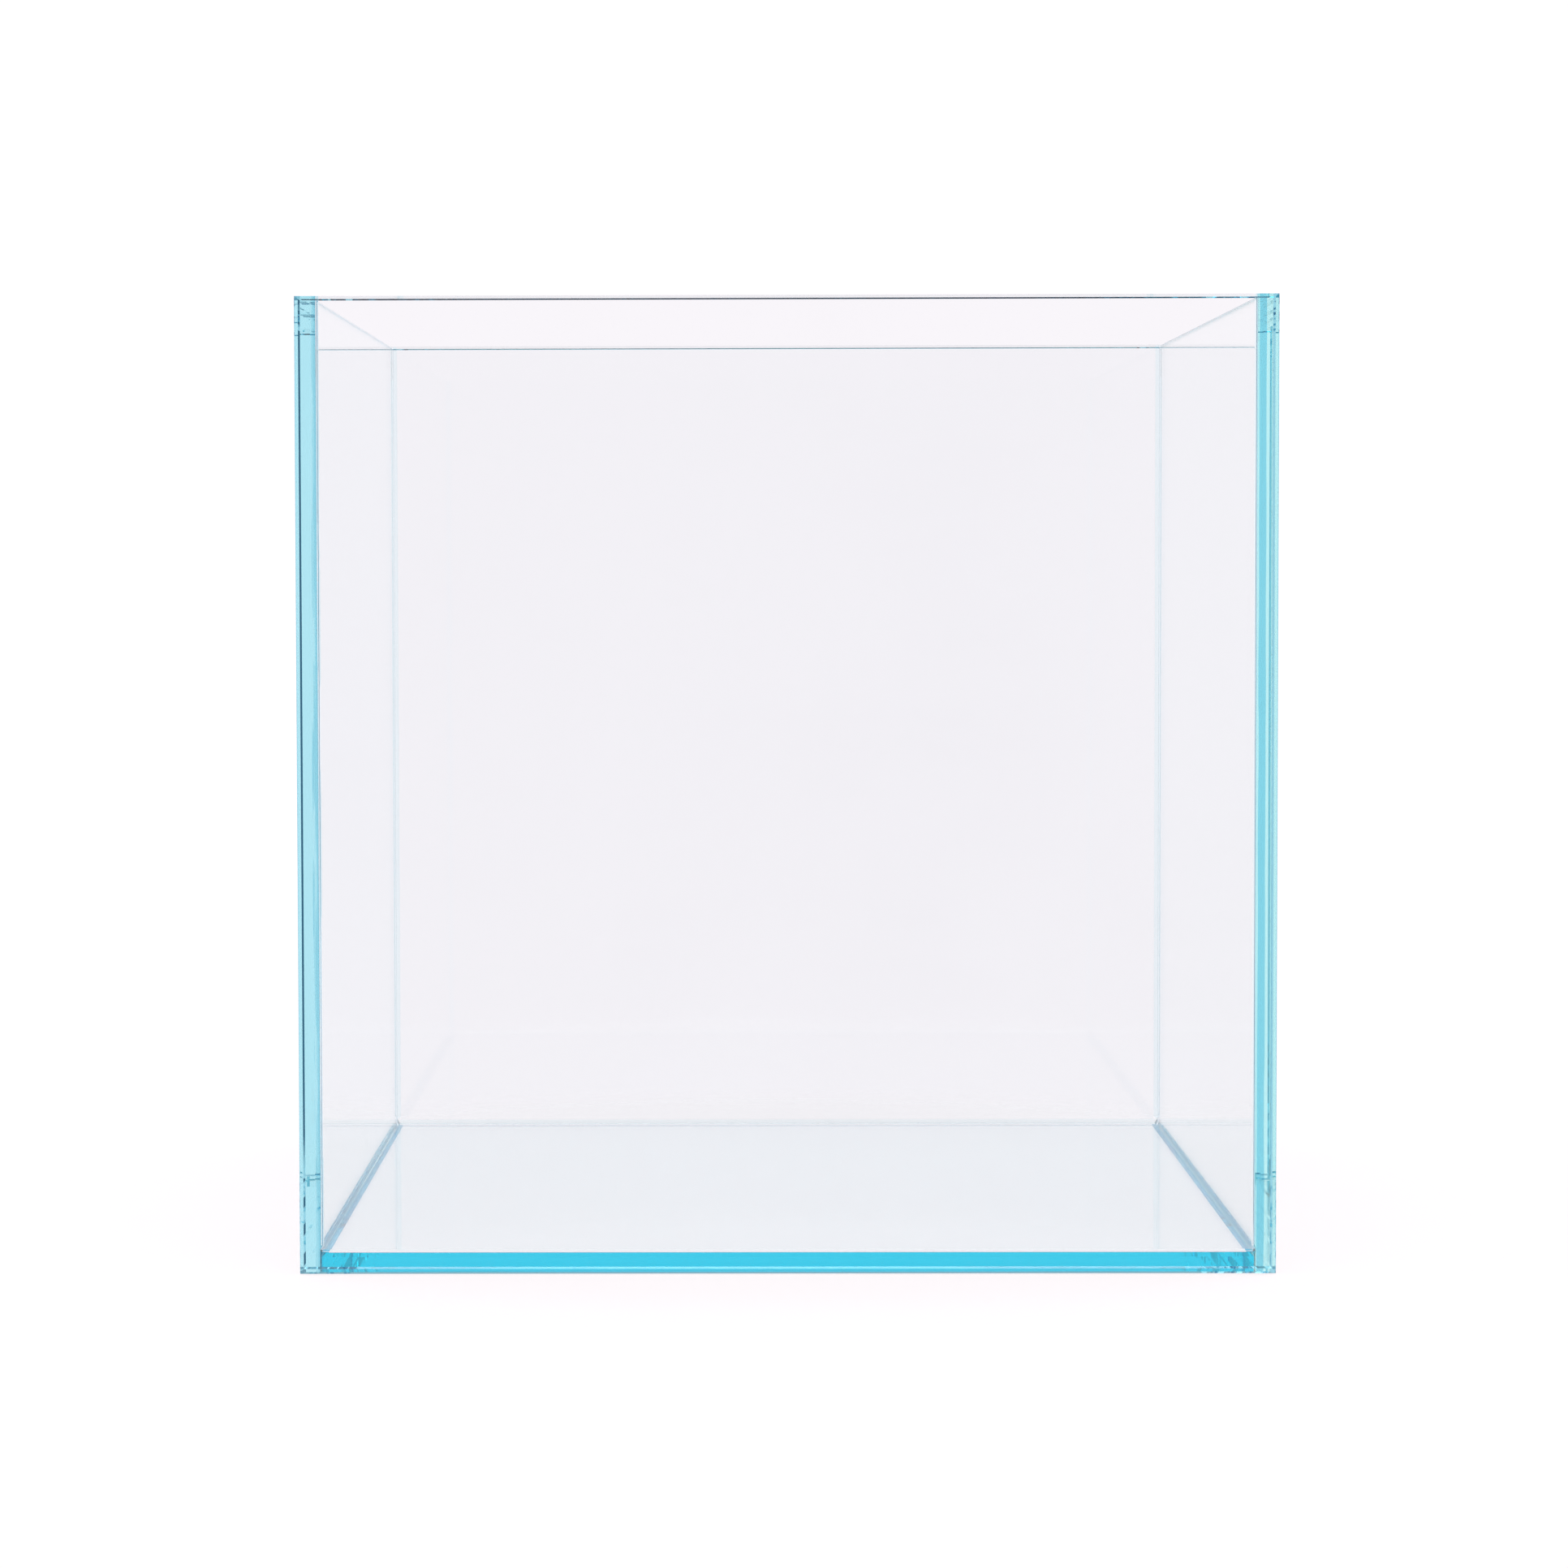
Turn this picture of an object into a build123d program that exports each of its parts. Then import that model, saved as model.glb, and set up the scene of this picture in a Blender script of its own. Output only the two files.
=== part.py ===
"""Rimless glass aquarium: a cube of five clear panes bonded with clear silicone, open at the top.

The front and back panes run the full width and cover the ends of the side panes. The bottom pane
lies between the four walls, with its underside level with their lower edges. A thin silicone film
fills every joint, and a narrow hand-wiped bead runs along each inner corner.

The origin is the middle of the underside. +X is right, +Y is back and +Z is up, in millimetres.
"""
from build123d import *
import os

# Driving dimensions
tank_width = 300.0
tank_depth = 300.0
tank_height = 300.0
glass_thickness = 6.0
arris = 1.2            # 45 degree flat ground along the upper edges of a pane
upright_arris = 1.5    # ground along the upright edges
base_arris = 1.8       # ground along the lower edges
side_base_arris = 0.5  # the lower edges of the side panes are only just broken
narrower_by = 0.2      # one face of every wall has arrises narrower than the other by this much
bond_gap = 0.4         # silicone film between the edge of one pane and the face of the next
top_recess = 0.3       # at the top the film nearly fills the groove between two arrises
bead_leg = 1.2         # how far a bead spreads over each of its two faces, past the arris
bead_sag = 0.25        # how far its hollow surface dips below a flat one

# Places that follow from them
outer_x = tank_width / 2
outer_y = tank_depth / 2
inner_x = outer_x - glass_thickness
inner_y = outer_y - glass_thickness
side_pane_depth = 2 * (inner_y - bond_gap)
bottom_pane_width = 2 * (inner_x - bond_gap)
bottom_pane_depth = 2 * (inner_y - bond_gap)
seam_reach = bond_gap + arris     # from a wall's face to the far side of the bottom pane's arris
corner_reach = bond_gap + upright_arris     # the same at an upright corner
seam_base = base_arris
seam_top = tank_height - top_recess

os.makedirs("parts", exist_ok=True)


def make_pane(label, width, depth, height, middle_x, middle_y, through, narrow, lower_arris):
    """One upright or level sheet of glass on the ground, arrised round its two large faces.

    The short corner edges, which run through the sheet along the given axis, stay square. The
    face with narrow arrises is the first (0) or the last (-1) along that axis, or there is none.
    """
    with BuildPart() as pane:
        with BuildSketch(Plane(origin=(middle_x, middle_y, 0))):
            Rectangle(width, depth)
        extrude(amount=height)
        lower_edges = pane.edges().group_by(Axis.Z)[0].filter_by(through, reverse=True)
        chamfer(lower_edges, length=lower_arris)
        upper_edges = pane.edges().group_by(Axis.Z)[-1].filter_by(through, reverse=True)
        if narrow is None:
            chamfer(upper_edges, length=arris)
        else:
            wide = -1 - narrow
            chamfer(upper_edges.group_by(through)[narrow], length=arris - narrower_by)
            upper_edges = pane.edges().group_by(Axis.Z)[-1].filter_by(through, reverse=True)
            chamfer(upper_edges.group_by(through)[wide], length=arris)
            upright_edges = pane.edges().filter_by(Axis.Z).group_by(through)
            chamfer(upright_edges[narrow], length=upright_arris - narrower_by)
            upright_edges = pane.edges().filter_by(Axis.Z).group_by(through)
            chamfer(upright_edges[wide], length=upright_arris)
    pane.part.label = label
    export_step(pane.part, f"parts/{label}.step")
    return pane.part


def make_bead(corner, length):
    """Wiped bead along an inner corner, whose two faces follow the plane's x and y axes."""
    middle = bead_leg / 2 - bead_sag / 2**0.5
    with BuildPart() as bead:
        with BuildSketch(corner):
            with BuildLine():
                Line((0, 0), (bead_leg, 0))
                ThreePointArc((bead_leg, 0), (middle, middle), (0, bead_leg))
                Line((0, bead_leg), (0, 0))
            make_face()
        extrude(amount=length)
    return bead.part


def make_corner_seam(label, side_x, side_y, side_pane, end_pane):
    """Upright seam between the end of a side pane and the face of the front or back pane."""
    film_width = glass_thickness - upright_arris
    film_x = side_x * (inner_x + film_width / 2)
    film_y = side_y * (inner_y + (arris - corner_reach) / 2)
    across = (-side_x, 0, 0) if side_x == side_y else (0, -side_y, 0)
    corner = Plane(origin=(side_x * inner_x, side_y * inner_y, glass_thickness), x_dir=across)
    with BuildPart() as seam:
        with BuildSketch(Plane(origin=(film_x, film_y, seam_base))):
            Rectangle(film_width, arris + corner_reach)
        extrude(amount=seam_top - seam_base)
        add(side_pane, mode=Mode.SUBTRACT)
        add(end_pane, mode=Mode.SUBTRACT)
        add(make_bead(corner, seam_top - glass_thickness))
    seam.part.label = label
    export_step(seam.part, f"parts/{label}.step")
    return seam.part


def make_bottom_seam(label, corner, length, neighbours):
    """Level seam between an edge of the bottom pane and a wall, cut back from its neighbours.

    The corner plane lies across the seam at one end, its origin where the wall meets the top of
    the bottom pane, its x axis pointing away from the wall and its y axis up.
    """
    film_height = glass_thickness - base_arris
    with BuildPart() as seam:
        with BuildSketch(corner):
            with Locations((seam_reach / 2, -film_height / 2)):
                Rectangle(seam_reach, film_height)
        extrude(amount=length)
        add(make_bead(corner, length))
        for piece in neighbours:
            add(piece, mode=Mode.SUBTRACT)
    seam.part.label = label
    export_step(seam.part, f"parts/{label}.step")
    return seam.part


# Panes: the front and back ones are alike and set the same way round, narrow arrises to the front
wall_x = (inner_x + outer_x) / 2
wall_y = (inner_y + outer_y) / 2
side_pane = (glass_thickness, side_pane_depth, tank_height)
end_pane = (tank_width, glass_thickness, tank_height)
floor_pane = (bottom_pane_width, bottom_pane_depth, glass_thickness)
front_pane = make_pane("front_pane", *end_pane, 0, -wall_y, Axis.Y, 0, base_arris)
back_pane = make_pane("back_pane", *end_pane, 0, wall_y, Axis.Y, 0, base_arris)
left_pane = make_pane("left_pane", *side_pane, -wall_x, 0, Axis.X, 0, side_base_arris)
right_pane = make_pane("right_pane", *side_pane, wall_x, 0, Axis.X, -1, side_base_arris)
bottom_pane = make_pane("bottom_pane", *floor_pane, 0, 0, Axis.Z, None, base_arris)

# Upright seams at the four corners
corner_seams = [
    make_corner_seam("front_left_corner_seam", -1, -1, left_pane, front_pane),
    make_corner_seam("front_right_corner_seam", 1, -1, right_pane, front_pane),
    make_corner_seam("back_left_corner_seam", -1, 1, left_pane, back_pane),
    make_corner_seam("back_right_corner_seam", 1, 1, right_pane, back_pane),
]

# Level seams round the bottom pane: the side ones are cut back from the front and back ones
floor_z = glass_thickness
front_corner = Plane(origin=(-inner_x, -inner_y, floor_z), x_dir=(0, 1, 0), z_dir=(1, 0, 0))
back_corner = Plane(origin=(inner_x, inner_y, floor_z), x_dir=(0, -1, 0), z_dir=(-1, 0, 0))
left_corner = Plane(origin=(-inner_x, inner_y, floor_z), x_dir=(1, 0, 0), z_dir=(0, -1, 0))
right_corner = Plane(origin=(inner_x, -inner_y, floor_z), x_dir=(-1, 0, 0), z_dir=(0, 1, 0))

cut_back = [bottom_pane] + corner_seams
front_bottom_seam = make_bottom_seam("front_bottom_seam", front_corner, 2 * inner_x, cut_back)
back_bottom_seam = make_bottom_seam("back_bottom_seam", back_corner, 2 * inner_x, cut_back)
cut_back = cut_back + [front_bottom_seam, back_bottom_seam]
make_bottom_seam("left_bottom_seam", left_corner, 2 * inner_y, cut_back)
make_bottom_seam("right_bottom_seam", right_corner, 2 * inner_y, cut_back)
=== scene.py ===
"""Rimless glass aquarium: the CAD panes in low-iron glass, the seams as hand-wiped clear silicone.

Everything is in metres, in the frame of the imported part: +X right, +Y back, +Z up.
"""
import bmesh
import bpy
import math
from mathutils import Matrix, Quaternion, Vector


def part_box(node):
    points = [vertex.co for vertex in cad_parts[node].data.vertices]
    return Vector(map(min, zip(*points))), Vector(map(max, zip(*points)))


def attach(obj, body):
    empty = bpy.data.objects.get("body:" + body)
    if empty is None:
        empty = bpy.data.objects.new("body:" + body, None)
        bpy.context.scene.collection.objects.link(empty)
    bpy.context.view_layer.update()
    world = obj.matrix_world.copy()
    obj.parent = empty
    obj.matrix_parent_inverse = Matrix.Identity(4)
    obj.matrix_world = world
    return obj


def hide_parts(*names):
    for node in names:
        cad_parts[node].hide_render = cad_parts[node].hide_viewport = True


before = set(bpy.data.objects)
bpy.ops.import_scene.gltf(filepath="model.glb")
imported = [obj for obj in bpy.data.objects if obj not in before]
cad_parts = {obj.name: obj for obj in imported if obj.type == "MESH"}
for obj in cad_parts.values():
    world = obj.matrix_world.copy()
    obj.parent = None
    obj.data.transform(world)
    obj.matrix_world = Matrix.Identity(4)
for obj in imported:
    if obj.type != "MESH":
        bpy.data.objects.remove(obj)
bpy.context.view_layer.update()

MM = 0.001
CORNERS = {
    "front_left_corner_seam": (-1, -1),
    "front_right_corner_seam": (1, -1),
    "back_left_corner_seam": (-1, 1),
    "back_right_corner_seam": (1, 1),
}
BOTTOM_SEAMS = ["front_bottom_seam", "back_bottom_seam", "left_bottom_seam", "right_bottom_seam"]

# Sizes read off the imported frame
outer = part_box("front_pane")[1].x
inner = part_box("right_pane")[0].x
glass = outer - inner
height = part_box("front_pane")[1].z
bond_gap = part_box("left_pane")[0].y + inner
base_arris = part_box("front_left_corner_seam")[0].z
upright_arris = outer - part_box("front_right_corner_seam")[1].x
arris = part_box("left_bottom_seam")[1].x + inner - bond_gap
bead_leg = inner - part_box("front_right_corner_seam")[0].x
seam_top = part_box("front_right_corner_seam")[1].z

CLOSE = 0.1 * MM          # slack of the tests that find where silicone covers a pane
GAP = 0.02 * MM           # the seams stand this far off the glass
NARROWER_BY = 0.2 * MM    # the front face of the front and back panes has narrower arrises
BEAD_SAG = 0.25 * MM      # how far a bead's hollow surface dips below a flat one
ARC_STEPS = 8             # facets across the hollow
RINGS = 60                # sections along the plain stretch of a corner seam
LEDGE = 0.01 * MM         # half the height of the step where a corner bead starts
LEAST_BEAD = 0.04         # share of its full size that a corner bead starts from

# Looks
GLASS_IOR = 1.56
SILICONE_IOR = 1.41
FACE_ROUGHNESS = 0.012
SHINE_ROUGHNESS = 0.03

# Pane: the axis through its thickness, what it takes off a metre, clarity, roughness of its edges
GLASS = {
    "front_pane": ("Y", (4.0, 1.2, 0.7), 0.93, 0.02),
    "back_pane": ("Y", (4.0, 1.2, 0.7), 0.985, 0.02),
    "left_pane": ("X", (2.8, 0.6, 0.3), 1.0, 0.02),
    "right_pane": ("X", (2.2, 0.25, 0.25), 0.99, 0.20),
    "bottom_pane": ("Z", (17.0, 1.6, 0.6), 1.0, 0.05),
}

# Cyan painted into the front joints for the light that reaches them along the side panes: the side,
# where the tint starts and ends from the inner face, how ragged its edge is, its colour
PAINTED_JOINT_TINTS = [
    (-1, -1.5 * MM, 0.4 * MM, 1.2 * MM, (0.60, 0.81, 0.87)),
    (1, 0.35 * MM, 2.5 * MM, 0.2 * MM, (0.41, 0.75, 0.88)),
]

# Studio
FLOOR_RADIUS = 0.3
FLOOR_SIDES = 96
FLOOR_DROP = 0.1 * MM     # keeps the table clear of the underside
FADE_START = 0.7          # share of the radius where the table starts to fade out
FLOOR_GLOW = (0.79, 0.75, 0.765)
# painted light: under the tank the table glows brighter and redder than around it, making up for the
# cyan the bottom pane takes out
UNDER_GLOW = (1.02, 0.81, 0.83)
PALE = (1.06, 1.015, 1.05)

# Patches of the surround: the way each faces, the cosines where it starts and is full, its colour
PATCHES = [
    ((0, -1, 0), 0.80, 0.94, (0.85, 0.80, 0.84)),
    ((0, 0, 1), 0.60, 0.80, (0.65, 0.65, 0.68)),
    ((0, 0, 1), 0.988, 0.994, (0.05, 0.04, 0.06)),
]

# Limits of direction, each from where it starts to where it is full, and the colour within them
SIDE_STRIP = ((0.055, 0.065), (0.14, 0.13), (0.88, 0.96), (0.0, 0.16, 0.25))
BAR = ((0.10, 0.13), (0.25, 0.22), (0.90, 0.95), (3.0, 3.0, 3.0))

# Camera
LENS = 92.41
SENSOR = 36
SHIFT = (0.0535, -0.0337)
CAMERA_PLACE = (-0.01652, -1.37856, 0.21959)
YAW, PITCH, ROLL = math.radians(-0.465), math.radians(-2.444), math.radians(-0.128)
BOUNCES = 256             # light runs far along the panes between total reflections


# Node helpers

def node(tree, kind, **settings):
    """New node with these settings."""
    made = tree.nodes.new(kind)
    for name, value in settings.items():
        setattr(made, name, value)
    return made


def new_material(name):
    material = bpy.data.materials.new(name)
    material.use_nodes = True
    tree = material.node_tree
    tree.nodes.clear()
    return material, tree, node(tree, "ShaderNodeOutputMaterial")


def absorption(tree, out, red, green, blue):
    """Plain Volume Absorption that takes off this much a metre in each colour."""
    volume = node(tree, "ShaderNodeVolumeAbsorption")
    strongest = max(red, green, blue)
    volume.inputs["Density"].default_value = strongest
    volume.inputs["Color"].default_value = (
        1 - red / strongest, 1 - green / strongest, 1 - blue / strongest, 1)
    tree.links.new(volume.outputs[0], out.inputs["Volume"])


def object_place(tree):
    """How far a surface point is from the middle plane across and along the tank, and its height."""
    place = node(tree, "ShaderNodeTexCoord")
    parts = node(tree, "ShaderNodeSeparateXYZ")
    tree.links.new(place.outputs["Object"], parts.inputs[0])
    across = maths(tree, "ABSOLUTE", parts.outputs["X"])
    along = maths(tree, "ABSOLUTE", parts.outputs["Y"])
    return across, along, parts.outputs["Z"]


def maths(tree, operation, *values):
    """Output of a Math node whose inputs are numbers or sockets."""
    made = node(tree, "ShaderNodeMath", operation=operation)
    for socket, value in zip(made.inputs, values):
        if isinstance(value, (int, float)):
            socket.default_value = value
        else:
            tree.links.new(value, socket)
    return made.outputs[0]


def between(tree, value, low, high):
    """1 where the value lies between two limits, else 0."""
    above = maths(tree, "GREATER_THAN", value, low)
    below = maths(tree, "LESS_THAN", value, high)
    return maths(tree, "MULTIPLY", above, below)


def bonded(tree):
    """1 where silicone covers a pane: in the corner columns and round the bottom pane."""
    across, along, up = object_place(tree)
    start = inner - bond_gap - upright_arris
    corner = between(tree, across, inner - bead_leg, outer - upright_arris)
    corner = maths(tree, "MULTIPLY", corner, between(tree, along, start, inner + CLOSE))
    corner = maths(tree, "MULTIPLY", corner, between(tree, up, base_arris, seam_top))
    start = inner - bond_gap - arris
    edge = between(tree, maths(tree, "MAXIMUM", across, along), start, inner + CLOSE)
    edge = maths(tree, "MULTIPLY", edge, between(tree, up, base_arris, glass + bead_leg))
    return maths(tree, "MAXIMUM", corner, edge)


def ramp(tree, value, start, full):
    """Smooth step from 0 where the value is start to 1 where it is full, upwards or downwards."""
    step = node(tree, "ShaderNodeMapRange", interpolation_type="SMOOTHSTEP")
    step.inputs["From Min"].default_value = min(start, full)
    step.inputs["From Max"].default_value = max(start, full)
    if start > full:
        step.inputs["To Min"].default_value = 1.0
        step.inputs["To Max"].default_value = 0.0
    tree.links.new(value, step.inputs["Value"])
    return step.outputs[0]


def noise(tree, place, scale, detail, low, high, stretch=(1, 1, 1)):
    """Cloudy value from 0 to 1, 0 below low and 1 above high."""
    mapping = node(tree, "ShaderNodeMapping")
    mapping.inputs["Scale"].default_value = stretch
    cloud = node(tree, "ShaderNodeTexNoise")
    cloud.inputs["Scale"].default_value = scale
    cloud.inputs["Detail"].default_value = detail
    tree.links.new(place, mapping.inputs["Vector"])
    tree.links.new(mapping.outputs[0], cloud.inputs["Vector"])
    return ramp(tree, cloud.outputs["Fac"], low, high)


def mixed(tree, factor, first, second):
    """Colour that goes from the first to the second with the factor."""
    mix = node(tree, "ShaderNodeMix", data_type="RGBA")
    tree.links.new(factor, mix.inputs[0])
    for socket, colour in ((mix.inputs[6], first), (mix.inputs[7], second)):
        if isinstance(colour, tuple):
            socket.default_value = (*colour, 1)
        else:
            tree.links.new(colour, socket)
    return mix.outputs[2]


def cut_edges(tree, through):
    """1 on the ground edges and arrises of a pane whose thickness lies along this axis."""
    place = node(tree, "ShaderNodeTexCoord")
    parts = node(tree, "ShaderNodeSeparateXYZ")
    tree.links.new(place.outputs["Normal"], parts.inputs[0])
    return maths(tree, "LESS_THAN", maths(tree, "ABSOLUTE", parts.outputs[through]), 0.9)


def glass_material(name, through, tint, clarity, edge_roughness):
    """Low-iron glass: clear faces with faint wiping marks, ground edges a little duller."""
    material, tree, out = new_material(name)
    place = node(tree, "ShaderNodeTexCoord").outputs["Object"]
    smudge = noise(tree, place, 9.0, 3.0, 0.50, 0.72, (1, 1, 0.6))
    wiped = noise(tree, place, 60.0, 2.0, 0.45, 0.75, (0.2, 0.2, 1.0))
    grain = noise(tree, place, 900.0, 2.0, 0.30, 0.70, (1.0, 1.0, 1.0))
    edges = cut_edges(tree, through)
    film = maths(tree, "MULTIPLY", smudge, maths(tree, "MULTIPLY_ADD", wiped, 0.5, 0.5))
    clean = tuple(clarity * part for part in (1.0, 0.998, 1.0))
    handled = tuple(clarity * part for part in (0.988, 0.986, 0.989))
    shader = node(tree, "ShaderNodeBsdfPrincipled")
    tree.links.new(mixed(tree, film, clean, handled), shader.inputs["Base Color"])
    face = maths(tree, "MULTIPLY", film, FACE_ROUGHNESS)
    edge = maths(tree, "MULTIPLY", maths(tree, "MULTIPLY_ADD", grain, 0.6, 0.4), edge_roughness)
    rough = node(tree, "ShaderNodeMix")
    tree.links.new(edges, rough.inputs[0])
    tree.links.new(face, rough.inputs[2])
    tree.links.new(edge, rough.inputs[3])
    tree.links.new(rough.outputs[0], shader.inputs["Roughness"])
    shader.inputs["IOR"].default_value = GLASS_IOR
    shader.inputs["Transmission Weight"].default_value = 1.0
    wetted = node(tree, "ShaderNodeBsdfGlass")
    wetted.inputs["Roughness"].default_value = 0.0
    wetted.inputs["IOR"].default_value = GLASS_IOR / SILICONE_IOR
    mix = node(tree, "ShaderNodeMixShader")
    tree.links.new(bonded(tree), mix.inputs[0])
    tree.links.new(shader.outputs[0], mix.inputs[1])
    tree.links.new(wetted.outputs[0], mix.inputs[2])
    tree.links.new(mix.outputs[0], out.inputs["Surface"])
    absorption(tree, out, *tint)
    return material


def silicone_material(name, colour, tinged):
    """Clear sealant, a little cloudy and waxy where it was wiped; this share of its shine is tinged."""
    material, tree, out = new_material(name)
    place = node(tree, "ShaderNodeTexCoord").outputs["Object"]
    cloud = noise(tree, place, 160.0, 3.0, 0.40, 0.70)
    shader = node(tree, "ShaderNodeBsdfPrincipled")
    milky = tuple(part * 0.97 for part in colour)
    tree.links.new(mixed(tree, cloud, colour, milky), shader.inputs["Base Color"])
    tree.links.new(maths(tree, "MULTIPLY_ADD", cloud, 0.06, 0.02), shader.inputs["Roughness"])
    shader.inputs["IOR"].default_value = SILICONE_IOR
    shader.inputs["Transmission Weight"].default_value = 1.0
    shine = node(tree, "ShaderNodeBsdfGlass")
    shine.inputs["Color"].default_value = (*colour, 1)
    shine.inputs["Roughness"].default_value = SHINE_ROUGHNESS
    shine.inputs["IOR"].default_value = SILICONE_IOR
    mix = node(tree, "ShaderNodeMixShader")
    mix.inputs[0].default_value = tinged
    tree.links.new(shader.outputs[0], mix.inputs[1])
    tree.links.new(shine.outputs[0], mix.inputs[2])
    tree.links.new(mix.outputs[0], out.inputs["Surface"])
    return material


def contact_material():
    """Silicone where it lies on glass: the pane's own surface bends the light there.

    The film in the front joints is tinted cyan towards the inside of the tank, in upright streaks:
    painted light, the colour of the light that runs along the side panes into the joints.
    """
    material, tree, out = new_material("bonded_silicone")
    shader = node(tree, "ShaderNodeBsdfPrincipled")
    place = node(tree, "ShaderNodeTexCoord").outputs["Object"]
    parts = node(tree, "ShaderNodeSeparateXYZ")
    tree.links.new(place, parts.inputs[0])
    streak = noise(tree, place, 700.0, 3.0, 0.35, 0.65, (1.0, 1.0, 0.04))
    front = maths(tree, "LESS_THAN", parts.outputs["Y"], 0.0)
    colour = (1.0, 1.0, 1.0)
    # painted light: the front joint film takes the cyan of light carried along the side panes
    for way, start, reach, ragged, painted_tint in PAINTED_JOINT_TINTS:
        inward = maths(tree, "MULTIPLY_ADD", parts.outputs["X"], way, -inner)
        inward = maths(tree, "SUBTRACT", inward, maths(tree, "MULTIPLY", streak, ragged))
        share = maths(tree, "MULTIPLY", front, between(tree, inward, start, reach))
        colour = mixed(tree, share, colour, painted_tint)
    tree.links.new(colour, shader.inputs["Base Color"])
    shader.inputs["Roughness"].default_value = 0.0
    shader.inputs["IOR"].default_value = 1.0
    shader.inputs["Transmission Weight"].default_value = 1.0
    tree.links.new(shader.outputs[0], out.inputs["Surface"])
    return material


silicone = silicone_material("clear_silicone", (0.88, 0.955, 0.97), 0.6)
floor_silicone = silicone_material("floor_silicone", (0.95, 0.985, 0.99), 0.9)
bonded_silicone = contact_material()

for name, settings in GLASS.items():
    glass_name = name.replace("pane", "glass")
    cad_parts[name].material_slots[0].material = glass_material(glass_name, *settings)


# Seams

def bead_arc(leg):
    """Points of the hollow surface from (leg, 0) to (0, leg)."""
    chord = leg * math.sqrt(2)
    radius = (chord**2 / 4 + BEAD_SAG**2) / (2 * BEAD_SAG)
    half = math.asin(chord / 2 / radius)
    middle = leg / 2 - BEAD_SAG / math.sqrt(2) + radius / math.sqrt(2)
    points = []
    for i in range(ARC_STEPS + 1):
        turn = math.radians(225) + half * (1 - 2 * i / ARC_STEPS)
        points.append((middle + radius * math.cos(turn), middle + radius * math.sin(turn)))
    return points


def swept(name, rings, free, free_material):
    """Closed mesh through equal rings of points, whose faces numbered in free are off the glass."""
    count = len(rings[0])
    verts = [p for ring in rings for p in ring]
    faces = []
    for a in range(len(rings) - 1):
        for i in range(count):
            j = (i + 1) % count
            faces.append((a * count + i, a * count + j, (a + 1) * count + j, (a + 1) * count + i))
    faces.append(tuple(range(count)))
    faces.append(tuple(reversed(range((len(rings) - 1) * count, len(rings) * count))))
    mesh = bpy.data.meshes.new(name)
    mesh.from_pydata(verts, [], faces)
    bm = bmesh.new()
    bm.from_mesh(mesh)
    bmesh.ops.recalc_face_normals(bm, faces=bm.faces)
    if bm.calc_volume(signed=True) < 0:
        bmesh.ops.reverse_faces(bm, faces=bm.faces)
    bm.to_mesh(mesh)
    bm.free()
    piece = bpy.data.objects.new(name, mesh)
    bpy.context.scene.collection.objects.link(piece)
    mesh.materials.append(free_material)
    mesh.materials.append(bonded_silicone)
    for face in mesh.polygons:
        face.material_index = 0 if face.index in free else 1
    return piece


def corner_profile(z, top_arris):
    """Section of an upright seam: u and v are the distances inward of the two inner faces.

    Its first sides are the hollow of the bead; side ARC_STEPS + 4 is the outer end of the film.
    The film widens at the top into the groove over the given arris of the front or back pane.
    """
    open_top = max(0.0, z - (height - top_arris))
    front = -open_top
    back = bond_gap
    end = glass - upright_arris
    grown = (z - glass - bead_leg) / bead_leg
    leg = bead_leg * min(1.0, max(LEAST_BEAD, grown))
    points = bead_arc(leg)
    points += [(GAP, leg), (GAP, back + upright_arris)]
    points += [(-upright_arris, back - GAP), (-end, back - GAP)]
    points += [(-end, front + GAP), (0.0, front + GAP), (leg, front + GAP)]
    return points


def make_corner_seam(name, side_x, side_y):
    """Upright seam whose bead grows to its full size just above the bottom seams."""
    stations = [base_arris, glass - LEDGE, glass + LEDGE]
    stations += [glass + bead_leg * step for step in (1.0, 1.2, 1.4, 1.6, 1.8, 2.0)]
    start = stations[-1]
    top_arris = arris if side_y < 0 else arris - NARROWER_BY
    plain = height - start - top_arris
    stations += [start + plain * i / RINGS for i in range(1, RINGS + 1)]
    stations += [seam_top]
    rings = []
    for z in stations:
        profile = corner_profile(z, top_arris)
        rings.append([(side_x * (inner - u), side_y * (inner - v), z) for u, v in profile])
    count = len(rings[0])
    sides = list(range(ARC_STEPS + 2)) + [ARC_STEPS + 4]
    free = {a * count + i for a in range(2, len(rings) - 1) for i in sides}
    free |= {a * count + ARC_STEPS + 4 for a in range(2)}
    free |= {(len(rings) - 1) * count, (len(rings) - 1) * count + 1}
    return swept(name, rings, free, silicone)


def bottom_profile():
    """Section of a level seam: v is the distance from the wall, w the height over the bottom pane."""
    low = base_arris - glass
    points = bead_arc(bead_leg)
    points += [(GAP, bead_leg), (GAP, low)]
    points += [(bond_gap - GAP, low), (bond_gap - GAP, -arris)]
    points += [(bond_gap + arris, GAP), (bead_leg, GAP)]
    return points


def make_bottom_seam(name):
    """Level seam along one wall, mitred at both ends."""
    side = name.replace("wiped_", "").split("_")[0]
    rings = []
    for end in (-1, 1):
        ring = []
        for v, w in bottom_profile():
            along = end * (inner - max(v, 0))
            across = inner - v
            z = glass + w
            place = {
                "front": (along, -across, z),
                "back": (along, across, z),
                "left": (-across, along, z),
                "right": (across, along, z),
            }[side]
            ring.append(place)
        rings.append(ring)
    free = set(range(ARC_STEPS)) | {ARC_STEPS + 2, ARC_STEPS + 5}
    return swept(name, rings, free, floor_silicone)


for name, (side_x, side_y) in CORNERS.items():
    seam = make_corner_seam("wiped_" + name, side_x, side_y)
    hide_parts(name)
    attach(seam, "root")
for name in BOTTOM_SEAMS:
    seam = make_bottom_seam("wiped_" + name)
    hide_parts(name)
    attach(seam, "root")


# Studio

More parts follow.
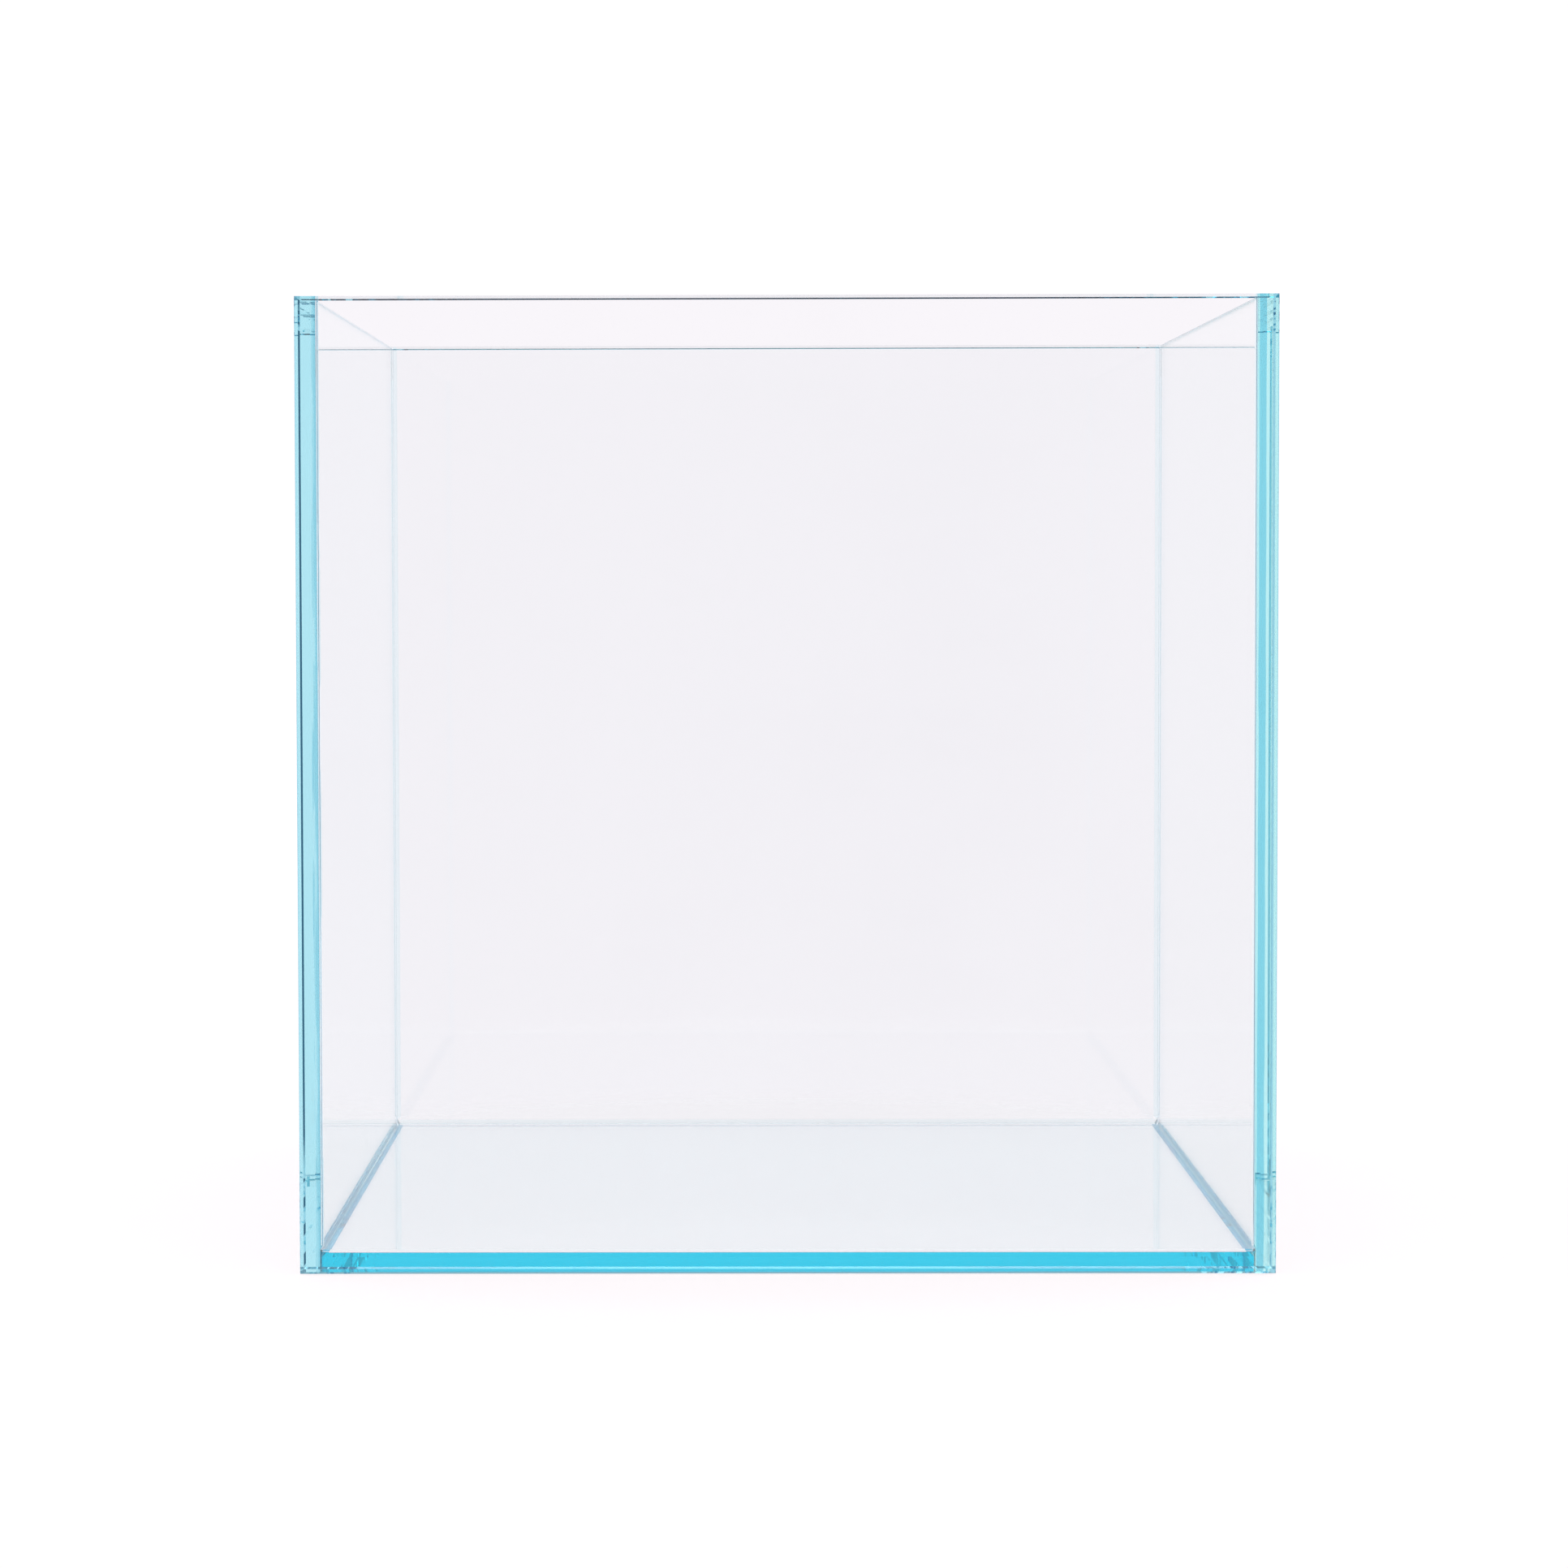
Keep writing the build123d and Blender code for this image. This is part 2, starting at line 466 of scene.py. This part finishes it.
def make_floor():
    """Round white table top that glows a little and fades into the white surround."""
    mesh = bpy.data.meshes.new("floor")
    turns = [math.tau * i / FLOOR_SIDES for i in range(FLOOR_SIDES)]
    ring = [(FLOOR_RADIUS * math.cos(turn), FLOOR_RADIUS * math.sin(turn), 0) for turn in turns]
    mesh.from_pydata(ring, [], [tuple(range(FLOOR_SIDES))])
    floor = bpy.data.objects.new("floor", mesh)
    floor.location.z = -FLOOR_DROP
    bpy.context.scene.collection.objects.link(floor)
    material, tree, out = new_material("pale_floor")
    shader = node(tree, "ShaderNodeBsdfPrincipled")
    shader.inputs["Base Color"].default_value = (0.35, 0.35, 0.35, 1)
    shader.inputs["Roughness"].default_value = 0.9
    shader.inputs["Specular IOR Level"].default_value = 0.0
    shader.inputs["Emission Strength"].default_value = 1.0
    across, along, up = object_place(tree)
    # painted light: a brighter, redder glow is painted on the table under the tank
    under = maths(tree, "LESS_THAN", maths(tree, "MAXIMUM", across, along), inner)
    tree.links.new(mixed(tree, under, FLOOR_GLOW, UNDER_GLOW), shader.inputs["Emission Color"])
    clear = node(tree, "ShaderNodeBsdfTransparent")
    place = node(tree, "ShaderNodeTexCoord")
    away = node(tree, "ShaderNodeVectorMath", operation="LENGTH")
    mix = node(tree, "ShaderNodeMixShader")
    tree.links.new(place.outputs["Object"], away.inputs[0])
    fade = ramp(tree, away.outputs["Value"], FADE_START * FLOOR_RADIUS, FLOOR_RADIUS)
    tree.links.new(fade, mix.inputs[0])
    tree.links.new(shader.outputs[0], mix.inputs[1])
    tree.links.new(clear.outputs[0], mix.inputs[2])
    tree.links.new(mix.outputs[0], out.inputs["Surface"])
    mesh.materials.append(material)


def within(tree, values, limits):
    """Product of a ramp for each value."""
    share = None
    for value, (start, full) in zip(values, limits):
        step = ramp(tree, value, start, full)
        share = step if share is None else maths(tree, "MULTIPLY", share, step)
    return share


def make_world():
    """Pale surround with a few darker patches, a bright bar overhead and a dark strip at the side."""
    world = bpy.data.worlds.new("studio")
    bpy.context.scene.world = world
    world.use_nodes = True
    tree = world.node_tree
    tree.nodes.clear()
    out = node(tree, "ShaderNodeOutputWorld")
    sky = node(tree, "ShaderNodeBackground")
    place = node(tree, "ShaderNodeTexCoord")
    colour = PALE
    for way, start, full, level in PATCHES:
        toward = node(tree, "ShaderNodeVectorMath", operation="DOT_PRODUCT")
        toward.inputs[1].default_value = way
        tree.links.new(place.outputs["Generated"], toward.inputs[0])
        colour = mixed(tree, ramp(tree, toward.outputs["Value"], start, full), colour, level)
    parts = node(tree, "ShaderNodeSeparateXYZ")
    tree.links.new(place.outputs["Generated"], parts.inputs[0])
    x, y, z = (parts.outputs[axis] for axis in "XYZ")
    colour = mixed(tree, within(tree, (y, y, z), BAR[:3]), colour, BAR[3])
    away = maths(tree, "ABSOLUTE", y)
    colour = mixed(tree, within(tree, (away, away, x), SIDE_STRIP[:3]), colour, SIDE_STRIP[3])
    tree.links.new(colour, sky.inputs["Color"])
    tree.links.new(sky.outputs[0], out.inputs["Surface"])


def make_camera():
    """Camera at the photograph's viewing angle."""
    data = bpy.data.cameras.new("camera")
    data.sensor_width = SENSOR
    data.lens = LENS
    data.shift_x, data.shift_y = SHIFT
    camera = bpy.data.objects.new("camera", data)
    camera.location = CAMERA_PLACE
    level = math.cos(PITCH)
    forward = Vector((math.sin(YAW) * level, math.cos(YAW) * level, math.sin(PITCH)))
    turn = forward.to_track_quat("-Z", "Y")
    camera.rotation_mode = "QUATERNION"
    camera.rotation_quaternion = turn @ Quaternion((0, 0, 1), ROLL)
    bpy.context.scene.collection.objects.link(camera)
    bpy.context.scene.camera = camera


make_floor()
make_world()
make_camera()
scene = bpy.context.scene
scene.view_settings.view_transform = "Standard"
scene.cycles.max_bounces = BOUNCES
scene.cycles.transmission_bounces = BOUNCES
scene.cycles.glossy_bounces = BOUNCES
scene.cycles.diffuse_bounces = 4
